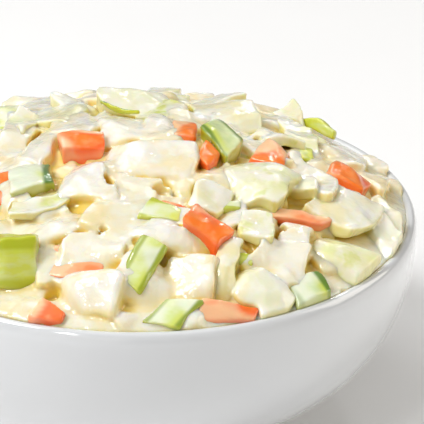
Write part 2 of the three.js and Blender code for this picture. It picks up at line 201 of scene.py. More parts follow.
LEAVES = [
    (-20, -28, 11, 4, 2, 20, 0.9, 0.8, 0.2, 3, 0.8),
    (-31, 17, 9, 12, 3, -20, 1.6, 0.8, 0, -4, 0, 20),
    (-26, 10, 6, 12, 2, -50, 2.2, 0.3, -0.4, -6, 1),
    (-18, 13, 10, 14, 3, -10, 0.9, 0.4, -0.3),
    (-1, 18, 15, 13, 4, -10, 3, 0.2, -0.2, -3, -0.8, 16),
    (20, 13, 15, 14, 4, -20, 1.8, 0.1, -0.2, -4, -0.5, 10),
    (36, 28, 5, 9, 2, 70, 2.8, 0.2, 0.6, 3, 0.6, 45),
    (23, -19, 15, 15, 3.5, -15, 1.6, 0.5, 0.3, 2, -1),
    (15, -26, 6, 8, 3, -20, 1.2, 0.3),
    (10, -35, 7, 6, 2.5, -15, 1.4, 0.4),
    (3, -38, 6, 5, 2.5, -10, 1, 0.2),
    (24, -34, 7, 8, 2.5, -25, 1.2, 0.6, 0, -2, 0.7),
    (18, -46, 5, 14, 3, -15, 1.4, 0.3, 0, -3, -0.8),
    (24, -50, 12, 9, 3, -40, 1.4, 0.15, 0, -2, -1),
    (44, -20, 12, 13, 3, -20, 2, 0.05, -0.2, 2, 1.2),
    (54, -14, 9, 10, 2.5, -45, 1.4, 0.05, 0.4, -4, 0.4),
    (52, -24, 8, 11, 2.5, -30, 1.2, 0.05, 0, 0, 0.4),
    (43, -35, 13, 12, 3, -25, 1.2, 0.6, 0.3, 0, -0.6),
    (37, 12, 7, 14, 3, -15, 1, 0.4, 0.2, -5, 0.5),
    (4, 32, 15, 11, 3, 10, 0.8, 0.5, 0.2),
]
CARROTS = [
    (-30, -21, 6, 12, 5, 5, 0.9, 0.8),
    (-12, -45, 12, 9, 3.5, -20, 0.6, 0.3, 0.2),
    (-18, -56, 7, 6, 5, -25, 0.8, 1, 0.5),
    (-12, -7, 10, 7, 5, 0, 1.8, 0.4),
    (29, -7, 8, 10, 6, -35, 1.8, 0.6, 0.15, -2),
    (14, -12, 5, 7, 4, -50, 1.2, 0.7, 0.2, -3),
    (10, -1, 5, 8, 4, -20, 0.8, 0.3, 0, -2),
    (14, -38, 10, 9, 6, -40, 3.2, 0.7, 0.4, -3, 0, -8, 10),
    (8, -31, 6, 2, 2.5, -10, 0.9, 1, 0.3),
    (18, -56, 11, 5, 5, 5, 0.9, 0.6, 0.3),
    (34, -27, 12, 3.5, 3, -4, 1, 0, 0.3, 2),
    (47, -5, 9, 9, 5, -20, 1.8, 0.9, 0, 0, 0, 0, 10),
]
GREENS = [
    (-25, -46, 10, 9, 5.5, 0, 3, 0.9, 0, 0, 0, 50),
    (-23, -20, 10, 9, 5, -85, 1.6, 0, 0, -3),
    (1, -48, 11, 5.5, 3.5, -115, 2, 0.6, 0.2),
    (7, -57, 8, 7, 3.5, -125, 1, 0.4, 0, -3),
    (6, -34, 9, 7, 4, -25, 1.4, 0.9, 0.3),
    (18, -4, 10, 8, 6.5, 120, 2.6, 0.2, 0, -4),
    (18, -27, 5, 3, 2, 5, 0.4, 0.9),
    (21, -43, 5, 3, 2, 0, 0, 1),
    (42, 25, 13, 2.5, 2.5, -58, 2.6, 1.5, 0.2),
    (-4, 11, 10, 1, 1.4, -33, 2.6, 2, 0.2),
    (35, -47, 8, 9, 6, -60, 1.2, 0.1, -0.2),
    (38, 3, 3, 8, 2.5, 15, 0.2, 1, 0, 2),
]
# Gaps between the pieces that go deep: x, y, half length, half width, turn and depth.
PITS = [
    (-18, -49.5, 1.9, 1.2, 70, 4),
    (-25.5, -28, 1.5, 1.4, 0, 4.5),
    (-31, -30, 3, 1.2, 0, 4),
    (-7, -38, 1, 0.7, 0, 3),
    (8, -44.5, 2, 0.5, -25, 3.5),
    (5, -25, 2.6, 1.6, 10, 2.5),
    (12.5, -23, 1.2, 2.6, -20, 2.5),
    (-6, -22, 1, 2.4, 0, 2.5),
    (-6, -7.5, 1.6, 1, 0, 2.5),
    (-23, 2, 0.8, 4, -20, 3),
    (27, 3, 1, 1, 0, 4),
    (43.5, -10.5, 1.3, 4, 20, 5),
    (33.5, -23.5, 4.4, 1.6, -10, 3.5),
    (26.5, -30.5, 1.2, 1.2, 0, 3.5),
    (30, -32, 1.2, 1.4, 0, 3.5),
    (40.5, -28, 1.7, 1, 0, 4),
    (53, -31, 1, 2.2, -35, 5),
    (44, -43, 3.2, 1.3, -20, 4),
    (31.5, -47.5, 1.7, 0.7, 20, 3.5),
    (19, -53, 1.1, 0.5, -20, 3),
]
PIT_MARGIN = 1  # round a gap
PIT_ABOVE = 3
PIT_BELOW = 2
SQUARE_LEAST = 1e-6  # keeps a square root off 0
# How each kind is cut: how ragged its corners are, how much its faces swell and its thickness changes, how
# round its corners and edges are, how wavy its outline is, how steeply its top falls off beyond its
# creases, and how far its underside follows them.
CUT_FIELDS = ("ragged", "swell", "wedge", "corner", "edge", "wavy", "crease", "follow")
CUTS = {
    "chunk": (0.3, 0.1, 0.35, 1.2, 0.8, 0.2, 0.4, 0),
    "slab": (0.4, 0.04, 0.45, 0.9, 0.55, 0.25, 0.45, 0.7),
    "leaf": (0.4, 0, 0.4, 0.8, 0.42, 0.35, 0.55, 1),
    "dice": (0.25, 0.02, 0.2, 0.5, 0.42, 0.1, 0.15, 0),
}
CORNER_SHARE = 0.6  # a corner's radius at most, of the piece's half width
EDGE_SHARE = 0.4  # an edge's radius at most, of its thickness
LEAST_HALF_LENGTH = 0.2  # without its rounding
LEAST_HALF_WIDTH = 0.1
OUTLINE_WAVES = 4
WAVE_RATE = (0.4, 1.1)
CREASES = 3
CREASE_OFFSET = (0.1, 0.6)  # from the piece's middle, of its half width
CREASE_STRENGTH = (0.2, 1)
BEND_LEVEL = 0.6  # where a bent piece crosses its flat: a share of the way out, squared
SIDE_LEAN = 0.45  # how much of the heap's slope to its sides the pieces lie along
PIECE_SEED = 501
PIECE_SEED_STEP = 17
GOLDEN_TURN = math.pi * (3 - math.sqrt(5))
# The rest of the heap's cover, and the small bits under it. Values are drawn in this order, each between
# its least and its most. A single number isn't drawn, and a filler's x and y are from its spot.
COVER_SPOTS = 300
COVER_EDGE = 55.5
COVER_SEED = 2027
COVER_CROWDING = 0.23  # how near two pieces may lie, against their lengths together
DICE_CROWDING = 0.6  # the same for the cover's dice against the rows' pieces
DICE_SIZE = 0.7  # against the other pieces
COVER_SHARES = (
    (0.14, "carrot", "dice"),
    (0.24, "green", "dice"),
    (0.45, "cabbage", "chunk"),
    (0.8, "cabbage", "slab"),
    (1, "leaf", "leaf"),
)
COVER = {
    "length": (12, 19), "width": (8.5, 12.5), "thick": (3.5, 5.5),
    "turn": (0, 360), "tip": (-15, 15), "lean": (-15, 15), "bend": 0, "lift": (-0.7, 0.9),
    "taper": (0, 0.5), "skew": (-2.5, 2.5), "tint": (0, 1),
}
LEAF_COVER = {**COVER, "thick": (2.5, 3.5), "bend": (-0.96, 1.44)}
UNDER_SPOTS = 260
UNDER_EDGE = 57
UNDER_SEED = 911
UNDER_CHUNKS = 0.4  # as a share: the rest are slabs
UNDER = {
    "x": (-1, 1), "y": (-1, 1), "length": (7, 14), "width": (5, 9), "thick": (2, 3.5),
    "turn": (0, 360), "tip": (-18, 18), "lean": (-18, 18), "bend": 0, "lift": (-2.3, -0.7),
    "taper": (0, 0.6), "skew": (-2, 2), "tint": (0, 1),
}


def surface_at(x, y):
    """The height of the heap's outer surface."""
    return BOWL_HEIGHT + HEAP_RISE * (1 - (x * x + y * y) / HEAP_RADIUS**2)


def pieces_of(kind, rows, spread=1.0):
    pieces = []
    for cut, *row in rows:
        piece = {"kind": kind, "cut": cut, **dict.fromkeys(LEFT_OUT, 0), **dict(zip(FIELDS, row))}
        piece["length"] *= spread
        piece["width"] *= spread
        pieces.append(piece)
    return pieces


def clear_of(piece, others, crowding):
    """Whether a piece keeps its distance from the others."""
    for other in others:
        gap = math.hypot(other["x"] - piece["x"], other["y"] - piece["y"])
        if gap <= crowding * (other["length"] + piece["length"]):
            return False
    return True


def spiral(spots, edge):
    """Evenly spread places, as in a sunflower."""
    for i in range(spots):
        radius = edge * math.sqrt((i + 0.5) / spots)
        yield radius * math.cos(i * GOLDEN_TURN), radius * math.sin(i * GOLDEN_TURN)


def drawn(draw, limits):
    """A drawn value for each name that has limits. A single number stays as it is."""
    values = {}
    for name, value in limits.items():
        values[name] = between(draw, value) if isinstance(value, tuple) else value
    return values


def cover_pieces(taken):
    """The rest of the heap's cover, without the spots that are taken."""
    draw = make_draw(COVER_SEED)
    placed = []
    for x, y in spiral(COVER_SPOTS, COVER_EDGE):
        share = draw()
        kind, cut = next((kind, cut) for most, kind, cut in COVER_SHARES if share < most)
        limits = LEAF_COVER if cut == "leaf" else COVER
        piece = {"kind": kind, "cut": cut, "x": x, "y": y, **drawn(draw, limits)}
        crowding = COVER_CROWDING
        if cut == "dice":
            piece["length"] *= DICE_SIZE
            piece["width"] *= DICE_SIZE
            crowding = DICE_CROWDING
        if clear_of(piece, taken, crowding) and clear_of(piece, placed, COVER_CROWDING):
            placed.append(piece)
    return placed


def under_pieces():
    """Small bits that fill the heap between and under the larger pieces."""
    draw = make_draw(UNDER_SEED)
    placed = []
    for x, y in spiral(UNDER_SPOTS, UNDER_EDGE):
        cut = "chunk" if draw() < UNDER_CHUNKS else "slab"
        piece = {"kind": "cabbage", "cut": cut, **drawn(draw, UNDER)}
        piece["x"] += x
        piece["y"] += y
        placed.append(piece)
    return placed


def finish_piece(piece, draw):
    """Adds a piece's corners and its own axes to it."""
    cut = dict(zip(CUT_FIELDS, CUTS[piece["cut"]]))
    half_length, half_width = piece["length"] / 2, piece["width"] / 2
    round_off = min(cut["corner"], half_width * CORNER_SHARE)
    piece["corners"] = []
    taper = piece["taper"]
    for u, v in ((-1, -1), (1, -1), (1, 1), (-1, 1)):
        scale_u = 1 + cut["ragged"] * (0.5 - draw())
        scale_v = 1 + cut["ragged"] * (0.5 - draw())
        narrowed = 1 - taper * (1 + u) / 2 if taper > 0 else 1 + taper * (1 - u) / 2
        corner_x = u * max(scale_u * half_length - round_off, LEAST_HALF_LENGTH) + v * piece["skew"] / 2
        corner_y = v * max(scale_v * narrowed * half_width - round_off, LEAST_HALF_WIDTH)
        piece["corners"].append((corner_x, corner_y))
    piece["corner_radius"] = round_off
    piece["edge_radius"] = min(cut["edge"], piece["thick"] * EDGE_SHARE)
    piece["wedge"] = cut["wedge"] * (2 * draw() - 1)
    piece["waves"] = []
    for _ in range(OUTLINE_WAVES):
        piece["waves"].append((between(draw, WAVE_RATE), between(draw, WAVE_RATE), FULL_TURN * draw()))
    for name in ("swell", "wavy", "follow"):
        piece[name] = cut[name]
    piece["creases"] = []
    for _ in range(CREASES):
        direction = 2 * math.pi * draw()
        offset = half_width * between(draw, CREASE_OFFSET)
        slope = cut["crease"] * between(draw, CREASE_STRENGTH)
        piece["creases"].append((math.cos(direction), math.sin(direction), offset, slope))

    x, y = piece["x"], piece["y"]
    slope = 2 * HEAP_RISE / HEAP_RADIUS**2
    normal = Vector((SIDE_LEAN * slope * x, slope * y, 1)).normalized()
    turn = math.radians(piece["turn"])
    along = Vector((math.cos(turn), math.sin(turn), 0))
    along = (along - normal * along.dot(normal)).normalized()
    across = normal.cross(along)
    on_surface = Matrix((along, across, normal)).transposed()
    tip = Matrix.Rotation(math.radians(piece["tip"]), 3, "X")
    lean = Matrix.Rotation(math.radians(piece["lean"]), 3, "Y")
    piece["axes"] = np.array(tip @ lean @ on_surface).T  # rows: along, across, up
    face = Vector((x, y, surface_at(x, y) + piece["lift"]))
    piece["centre"] = np.array(face) - piece["axes"][2] * piece["thick"] / 2


def lay_pieces():
    shown = pieces_of("cabbage", CABBAGE, CABBAGE_SPREAD)
    shown += pieces_of("leaf", [("leaf", *row) for row in LEAVES], CABBAGE_SPREAD)
    for kind, rows in (("carrot", CARROTS), ("green", GREENS)):
        shown += pieces_of(kind, [("dice", *row) for row in rows])
    pieces = shown + cover_pieces(shown) + under_pieces()
    for i, piece in enumerate(pieces):
        finish_piece(piece, make_draw(PIECE_SEED + PIECE_SEED_STEP * i))
    return pieces


# ---- Distance fields ----
def polygon_distance(x, y, corners):
    """Signed distance to a convex polygon, negative inside."""
    nearest = np.full(x.shape, 1e9, dtype=np.float32)
    inside = np.ones(x.shape, dtype=bool)
    for (from_x, from_y), (to_x, to_y) in zip(corners, corners[1:] + corners[:1]):
        edge_x, edge_y = to_x - from_x, to_y - from_y
        off_x, off_y = x - from_x, y - from_y
        t = np.clip((off_x * edge_x + off_y * edge_y) / (edge_x**2 + edge_y**2), 0, 1)
        nearest = np.minimum(nearest, (off_x - t * edge_x) ** 2 + (off_y - t * edge_y) ** 2)
        inside &= edge_x * off_y - edge_y * off_x > 0
    distance = np.sqrt(nearest)
    return np.where(inside, -distance, distance)


def piece_distance(piece, x, y, z):
    """Signed distance to one piece: a rounded slab with a polygon outline, bent and swollen."""
    off = [x - piece["centre"][0], y - piece["centre"][1], z - piece["centre"][2]]
    a, b, c = (sum(axis[k] * off[k] for k in range(3)) for axis in piece["axes"])
    spread = (2 * a / piece["length"]) ** 2 + (2 * b / piece["width"]) ** 2
    spread = np.minimum(spread, 2)
    c = c - piece["bend"] * (spread - BEND_LEVEL)
    edge = piece["edge_radius"]
    wedge = 1 + piece["wedge"] * 2 * a / piece["length"]
    half = piece["thick"] / 2 * (wedge - piece["swell"] * spread) - edge
    wave_a = sum(np.sin(rate * b + phase) for rate, _, phase in piece["waves"])
    wave_b = sum(np.sin(rate * a + phase) for _, rate, phase in piece["waves"])
    wavy = piece["wavy"] / 2
    outline = polygon_distance(a + wavy * wave_a, b + wavy * wave_b, piece["corners"])
    outline = outline - piece["corner_radius"] + edge
    fall = 0
    for cos, sin, offset, slope in piece["creases"]:
        fall = fall + slope * np.maximum(a * cos + b * sin - offset, 0)
    height = np.maximum(c + fall, -c - piece["follow"] * fall) - half
    outside = np.hypot(np.maximum(outline, 0), np.maximum(height, 0))
    return outside + np.minimum(np.maximum(outline, height), 0) - edge


class Field:
    """A distance field on a grid over the heap, with the nearest piece's number in each cell."""

    def __init__(self, cell):
        self.cell = cell
        self.low = np.array([-GRID_REACH, -GRID_REACH, GRID_LOW])
        across = int(2 * GRID_REACH / cell) + 1
        counts = [across, across, int((GRID_HIGH - GRID_LOW) / cell) + 1]
        self.axes = [(self.low[k] + cell * np.arange(counts[k])).astype(np.float32) for k in range(3)]
        self.value = np.full(counts, FAR_AWAY, dtype=np.float32)
        self.nearest = np.full(counts, FAR_AWAY, dtype=np.float32)
        self.owner = np.full(counts, -1, dtype=np.int16)

    def grid(self, part=(slice(None),) * 3):
        x, y, z = (self.axes[k][part[k]] for k in range(3))
        return x[:, None, None], y[None, :, None], z[None, None, :]

    def bent_grid(self, part):
        """The grid's places, shifted a little, so that no piece is quite straight."""
        x, y, z = self.grid(part)
        return tuple(place + uneven(x, y, z, shift) for place, shift in zip((x, y, z), SHIFTS))

    def around(self, piece, margin):
        length = piece["length"] + abs(piece["skew"])
        fall = piece["follow"] * piece["width"] * 0.5
        half = np.array([length, piece["width"], piece["thick"] + 2 * abs(piece["bend"]) + fall]) / 2
        reach = np.abs(piece["axes"].T) @ half + margin
        first = np.floor((piece["centre"] - reach - self.low) / self.cell).astype(int)
        last = np.ceil((piece["centre"] + reach - self.low) / self.cell).astype(int)
        return tuple(slice(max(f, 0), max(l, 0)) for f, l in zip(first, last))

    def add_piece(self, piece, number, blend=0.0, grow=0.0):
        """Joins a piece to the field, with a fillet about as wide as blend."""
        part = self.around(piece, blend + GRID_MARGIN)
        value = self.value[part]
        if not value.size:
            return
        distance = (piece_distance(piece, *self.bent_grid(part)) - grow).astype(np.float32)
        if blend > 0:
            h = np.clip(0.5 + 0.5 * (value - distance) / blend, 0, 1)
            self.value[part] = value + (distance - value) * h - blend * h * (1 - h)
        else:
            self.value[part] = np.minimum(value, distance)
        closer = distance < self.nearest[part]
        self.owner[part] = np.where(closer, number, self.owner[part])
        self.nearest[part] = np.where(closer, distance, self.nearest[part])

    def keep_in_bowl(self):
        """Cuts the food off just inside the bowl's wall, and inside the lip's crest over the rim."""
        x, y, z = self.grid()
        radius = np.hypot(x, y)
        depth = np.clip(BOWL_HEIGHT - z, 0, INNER_DEPTH)
        wall = INNER_TOP * np.sqrt(1 - (depth / INNER_DEPTH) ** SIDE_CURVE)
        lip = LIP_THICKNESS / 2
        over = np.clip(z - (BOWL_HEIGHT - lip), 0, lip)
        rounding = lip - np.sqrt(lip**2 - over**2)
        limit = np.minimum(wall + rounding + WALL_REACH, BOWL_RADIUS - lip - LIP_CLEARANCE)
        self.value = np.maximum(self.value, radius - limit).astype(np.float32)


def box_blur(values, cells):
    """Averages over a box of 2 x cells + 1 cells a side."""
    for axis in range(3):
        values = np.moveaxis(values, axis, 0)
        count = len(values)
        total = np.cumsum(values, axis=0, dtype=np.float64)
        total = np.concatenate([np.zeros_like(total[:1]), total])
        high = np.minimum(np.arange(count) + cells + 1, count)
        low = np.maximum(np.arange(count) - cells, 0)
        values = (total[high] - total[low]) / (high - low)[:, None, None]
        values = np.moveaxis(values, 0, axis)
    return values.astype(np.float32)


def surface_net(field):
    """The field's zero surface as points in millimetres and four-cornered faces that look outwards."""
    value = field.value
    inside = value < 0
    corners = [(i, j, k) for i in (0, 1) for j in (0, 1) for k in (0, 1)]
    count_x, count_y, count_z = (n - 1 for n in value.shape)
    inner = np.zeros((count_x, count_y, count_z), dtype=np.int8)
    for i, j, k in corners:
        inner += inside[i : i + count_x, j : j + count_y, k : k + count_z]
    cells = np.argwhere((inner > 0) & (inner < 8))
    number = np.full(inner.shape, -1, dtype=np.int32)
    number[tuple(cells.T)] = np.arange(len(cells))

    points = np.zeros((len(cells), 3))
    crossings = np.zeros(len(cells))
    for start in corners:
        for axis in range(3):
            if start[axis]:
                continue
            end = tuple(start[k] + (k == axis) for k in range(3))
            value_a = value[tuple((cells + start).T)]
            value_b = value[tuple((cells + end).T)]
            crossed = (value_a < 0) != (value_b < 0)
            t = np.where(crossed, value_a / np.where(crossed, value_a - value_b, 1), 0)
            place = cells + np.array(start) + t[:, None] * np.eye(3)[axis]
            points += place * crossed[:, None]
            crossings += crossed
    points = field.low + field.cell * points / crossings[:, None]

    faces = []
    for axis in range(3):
        side_a, side_b = (axis + 1) % 3, (axis + 2) % 3
        here = [slice(1, n - 1) for n in value.shape]
        ahead = list(here)
        ahead[axis] = slice(2, value.shape[axis])
        crossed = inside[tuple(here)] != inside[tuple(ahead)]
        starts = np.argwhere(crossed) + 1
        starts_inside = inside[tuple(starts.T)]
        around = []
        for back_a, back_b in ((0, 0), (1, 0), (1, 1), (0, 1)):
            cell = starts.copy()
            cell[:, side_a] -= back_a
            cell[:, side_b] -= back_b
            around.append(number[tuple(np.minimum(cell, np.array(number.shape) - 1).T)])
        quads = np.stack(around, axis=1)
        quads[~starts_inside] = quads[~starts_inside][:, ::-1]
        faces.append(quads)
    faces = np.concatenate(faces)
    return points, faces[(faces >= 0).all(axis=1)]


def drop_hidden(points, faces, hidden):
    """Leaves out the faces whose points are all hidden, and the points that no face then uses."""
    faces = faces[~hidden[faces].all(axis=1)]
    used, renumbered = np.unique(faces, return_inverse=True)
    return points[used], renumbered.reshape(faces.shape)


def sample(field, array, points):
    """The array's value at each point, from the nearest cell."""
    cells = np.rint((points - field.low) / field.cell).astype(int)
    cells = np.clip(cells, 0, np.array(array.shape) - 1)
    return array[tuple(cells.T)]


def soften(values, faces, rounds):
    """Evens out a value over the surface."""
    for _ in range(rounds):
        total = np.zeros_like(values)
        weight = np.zeros(len(values))
        for k in range(4):
            for other in ((k + 1) % 4, (k + 3) % 4):
                np.add.at(total, faces[:, k], values[faces[:, other]])
                np.add.at(weight, faces[:, k], 1)
        values = 0.5 * values + 0.5 * total / np.maximum(weight, 1)[:, None]
    return values


# ---- Meshes ----
def add_mesh(name, mesh):
    mesh.validate()
    mesh.polygons.foreach_set("use_smooth", np.ones(len(mesh.polygons), dtype=bool))
    piece = bpy.data.objects.new(name, mesh)
    bpy.context.collection.objects.link(piece)
    return piece


def add_object(name, points, faces, paints):
    """An object from points in millimetres and four-cornered faces. A paint is four numbers a point."""
    mesh = bpy.data.meshes.new(name)
    mesh.vertices.add(len(points))
    mesh.vertices.foreach_set("co", (points * MM).astype(np.float32).ravel())
    mesh.loops.add(faces.size)
    mesh.loops.foreach_set("vertex_index", faces.ravel().astype(np.int32))
    mesh.polygons.add(len(faces))
    mesh.polygons.foreach_set("loop_start", np.arange(0, faces.size, 4, dtype=np.int32))
    mesh.update(calc_edges=True)
    piece = add_mesh(name, mesh)
    for paint_name, paint in paints.items():
        layer = mesh.color_attributes.new(paint_name, "FLOAT_COLOR", "POINT")
        layer.data.foreach_set("color", paint.astype(np.float32).ravel())
    return piece


def turned(name, profile, segments):
    """A closed body of revolution about Z from [radius, height] points that start and end on the axis."""
    inner = profile[1:-1]
    angles = 2 * math.pi * np.arange(segments) / segments
    rings = []
    for radius, height in inner:
        circle = [radius * np.cos(angles), radius * np.sin(angles), np.full(segments, height)]
        rings.append(np.stack(circle, axis=1))
    poles = np.array([[0, 0, profile[0][1]], [0, 0, profile[-1][1]]])
    points = np.concatenate([*rings, poles])
    step = np.arange(segments)
    after = (step + 1) % segments
    end = (len(inner) - 1) * segments
    pole = np.full(segments, len(inner) * segments)
    corners = []
    for ring in range(0, end, segments):
        corners.append([ring + step, ring + after, ring + segments + after, ring + segments + step])
    corners += [[pole, after, step], [end + step, end + after, pole + 1]]
    faces = [face for sides in corners for face in np.stack(sides, axis=1).tolist()]
    mesh = bpy.data.meshes.new(name)
    mesh.from_pydata((points * MM).tolist(), [], faces)
    return add_mesh(name, mesh)


# ---- Bowl ----
def side_radius(top, depth, closing):
    return top * math.sqrt(max(0, 1 - (depth / closing) ** SIDE_CURVE))


def arc(radius, height, across, up, angles):
    """Points round a centre, across and up from it, for angles in degrees."""
    turns = [math.radians(angle) for angle in angles]
    return [(radius + across * math.cos(turn), height + up * math.sin(turn)) for turn in turns]


def bowl_profile(steps=40):
    """From the underside's centre out, up the outside, over the lip and down to the floor's centre."""
    lip = LIP_THICKNESS / 2
    crest = BOWL_RADIUS - lip
    foot_depth = OUTER_DEPTH * (1 - (FOOT_RADIUS / BOWL_RADIUS) ** 2) ** (1 / SIDE_CURVE)
    foot_inside = FOOT_RADIUS - FOOT_WIDTH
    profile = [(0, FOOT_RECESS), (foot_inside - FOOT_LEAN, FOOT_RECESS)]
    foot = (FOOT_ROUNDING,) * 3  # the arcs' height and reaches
    profile += arc(foot_inside + FOOT_ROUNDING, *foot, range(180, 271, 30))
    profile += arc(FOOT_RADIUS - FOOT_ROUNDING, *foot, range(270, 361, 30))
    outside = []
    for i in range(steps + 1):
        depth = LIP_DROP + (foot_depth - LIP_DROP) * math.sin(i / steps * math.pi / 2)
        outside.append((side_radius(BOWL_RADIUS, depth, OUTER_DEPTH), BOWL_HEIGHT - depth))
    profile += outside[::-1]
    profile += arc(crest, BOWL_HEIGHT - LIP_DROP, lip, LIP_DROP, range(12, 90, 12))
    profile += arc(crest, BOWL_HEIGHT - lip, lip, lip, range(96, 180, 12))
    for i in range(steps + 1):
        depth = lip + (INNER_DEPTH - lip) * math.sin(i / steps * math.pi / 2) ** WALL_SPACING
        radius = 0 if i == steps else side_radius(INNER_TOP, depth, INNER_DEPTH)
        profile.append((radius, BOWL_HEIGHT - depth))
    return profile


# ---- Slaw ----
def core_profile(steps=24):
    """From the underside's centre up the wall, a gap in from the bowl, and over a dome to its top."""
    profile = []
    for i in range(steps + 1):
        share = math.sin((1 - i / steps) * math.pi / 2) ** WALL_SPACING
        depth = CORE_DROP + (INNER_DEPTH - CORE_DROP - HEAP_GAP) * share
        stretched = min(depth * INNER_DEPTH / (INNER_DEPTH - HEAP_GAP), INNER_DEPTH)
        radius = 0 if i == 0 else max(side_radius(INNER_TOP, stretched, INNER_DEPTH) - HEAP_GAP, 0)
        profile.append((radius, BOWL_HEIGHT - depth))
    edge = profile[-1][0]
    for i in range(1, steps + 1):
        radius = edge * (1 - i / steps)
        profile.append((radius, surface_at(radius, 0) - HEAP_COVER - CORE_SINK))
    return profile


def net_of(field):
    """The field's surface without its hidden bottom."""
    points, faces = surface_net(field)
    return drop_hidden(points, faces, points[:, 2] < FOOD_BOTTOM)


def carve_pit(field, pit):
    """Cuts a deep round-ended gap into the field."""
    at_x, at_y, half_length, half_width, turn, depth = pit
    reach = max(half_length, half_width) + PIT_MARGIN
    height = depth + PIT_ABOVE + PIT_BELOW
    top = surface_at(at_x, at_y) + PIT_ABOVE
    corner = np.array([at_x - reach, at_y - reach, top - height])
    first = np.floor((corner - field.low) / field.cell).astype(int)
    last = first + np.ceil(np.array([2 * reach, 2 * reach, height]) / field.cell).astype(int)
    part = tuple(slice(max(f, 0), max(l, 0)) for f, l in zip(first, last))
    x, y, z = field.bent_grid(part)
    cos, sin = math.cos(math.radians(turn)), math.sin(math.radians(turn))
    along = (x - at_x) * cos + (y - at_y) * sin
    across = (y - at_y) * cos - (x - at_x) * sin
    width = min(half_length, half_width)
    out = np.sqrt((along / half_length) ** 2 + (across / half_width) ** 2 + SQUARE_LEAST)
    inside = (1 - out) * width
    inside = np.minimum(inside, z - (surface_at(at_x, at_y) - depth))
    field.value[part] = np.maximum(field.value[part], inside).astype(np.float32)


def dressing_in(field):
    """How far each cell is above the dressing."""
    x, y, z = field.grid()
    near, far = EDGE_BAND
    share = np.clip((np.hypot(x, y) - near) / (far - near), 0, 1)
    at_edge = share * share * (3 - 2 * share)
    height = z - surface_at(x, y) + HEAP_COVER + (EDGE_COVER - HEAP_COVER) * at_edge
    return height.astype(np.float32)


def make_coated_field(pieces):
    """The white cabbage and the dressing that joins it to the rest, with fillets in the crevices."""
    field = Field(COATED_CELL)
    field.value = dressing_in(field)
    field.nearest = field.value.copy()
    for number, piece in reversed(list(enumerate(pieces))):
        grow = 0 if piece["kind"] == "cabbage" else COATED_GROW
        blend = UNDER_BLEND if piece["lift"] < UNDER_LIFT else COATED_BLEND
        field.add_piece(piece, number, blend, grow)
    for pit in PITS:
        carve_pit(field, pit)
    field.value += uneven(*field.grid(), COATED_RIPPLES)
    field.keep_in_bowl()
    return field


def make_side_field(pieces, white):
    """The white cabbage and dressing alone, or the coloured pieces alone, to tell how near each is."""
    field = Field(COATED_CELL)
    if white:
        field.value = dressing_in(field)
    for number, piece in enumerate(pieces):
        if (piece["kind"] == "cabbage") == white:
            field.add_piece(piece, number)
    return field


def steepness(points, faces):
    """How steep the surface is at each point: 0 level, 1 upright."""
    a, b, c, d = (points[faces[:, k]] for k in range(4))
    normal = np.cross(c - a, d - b)
    total = np.zeros_like(points)
    for k in range(4):
        np.add.at(total, faces[:, k], normal)
    return 1 - total[:, 2] / np.maximum(np.linalg.norm(total, axis=1), 1e-9)


def hollows_at(field, points, faces):
    """How enclosed each point is, for each reach: 0 on the flat, towards 1 deep in a crevice. They place
    painted shade; the widest also counts steepness, for painted shade on steep sides.
    """
    filled = (field.value < 0).astype(np.float32)
    hollows = []
    for reach in HOLLOW_REACHES:
        blurred = box_blur(filled, max(1, round(reach / field.cell)))
        hollows.append(2 * sample(field, blurred, points) - 1)
    hollows[-1] = STEEP_SHARE * steepness(points, faces) + (1 - STEEP_SHARE) * hollows[-1]
    return hollows


def make_coated(pieces, field, coloured):
    """The white cabbage and its dressing, painted with how enclosed each point is, which places its painted
    shade, and its tint.
    """
    points, faces = net_of(field)
    covered = sample(coloured, coloured.value, points) < -HIDDEN_DEPTH
    points, faces = drop_hidden(points, faces, covered)
    owner = sample(field, field.owner, points)
    tints = np.array([piece["tint"] for piece in pieces] + [DRESSING_TINT])
    paint = np.stack([*hollows_at(field, points, faces), tints[owner]], axis=1)
    return add_object("cabbage_in_dressing", points, faces, {"Paint": soften(paint, faces, SOFTEN_ROUNDS)})


def make_kind(name, pieces, kind, cell, coated, white):
    """All the pieces of one kind, painted with each point's place on its piece, and its shade."""
    field = Field(cell)
    for number, piece in enumerate(pieces):
        if piece["kind"] == kind:
            field.add_piece(piece, number)
    field.value += uneven(*field.grid(), COLOURED_RIPPLES)
    field.keep_in_bowl()
    points, faces = net_of(field)
    deep = surface_at(points[:, 0], points[:, 1]) - points[:, 2] > COLOURED_DEPTH
    covered = sample(coated, coated.value, points) < -COVERED_DEPTH
    points, faces = drop_hidden(points, faces, deep | covered)
    owner = sample(field, field.owner, points)
    paint = np.zeros((len(points), 4))
    for number in np.unique(owner[owner >= 0]):
        piece = pieces[number]
        on_piece = owner == number
        local = (points[on_piece] - piece["centre"]) @ piece["axes"].T
        for axis, measure in enumerate(("length", "width", "thick")):
            paint[on_piece, axis] = local[:, axis] / piece[measure] + 0.5
        paint[on_piece, 3] = piece["tint"]
    nearness = 1 - np.clip(sample(white, white.value, points) / FILM_REACH, 0, 1)
    shade = np.stack([*hollows_at(coated, points, faces), nearness], axis=1)
    shade = soften(shade, faces, SOFTEN_ROUNDS)
    return add_object(name, points, faces, {"Paint": paint, "Shade": shade})


# ---- Materials ----
def srgb(red, green, blue):
    """A colour as read on a screen, 0 to 255, in the linear values that the shaders take."""
    linear = []
    for value in (red, green, blue):
        value = value / 255
        linear.append(value / 12.92 if value <= 0.04045 else ((value + 0.055) / 1.055) ** 2.4)
    return (*linear, 1)


# How far red, green and blue light spread under the surface.
WARM = (1.0, 0.75, 0.45)
ORANGE = (1, 0.5, 0.25)
THICK_DRESSING = (241, 239, 230)
# The brown of the painted shadow deep in the pits.
PIT_PAINTED_SHADOW = (178, 130, 32)
SOCKETS = (
    *("Roughness", "Coat Weight", "Coat Roughness"),
    *("Subsurface Weight", "Subsurface Radius", "Subsurface Scale"),
)


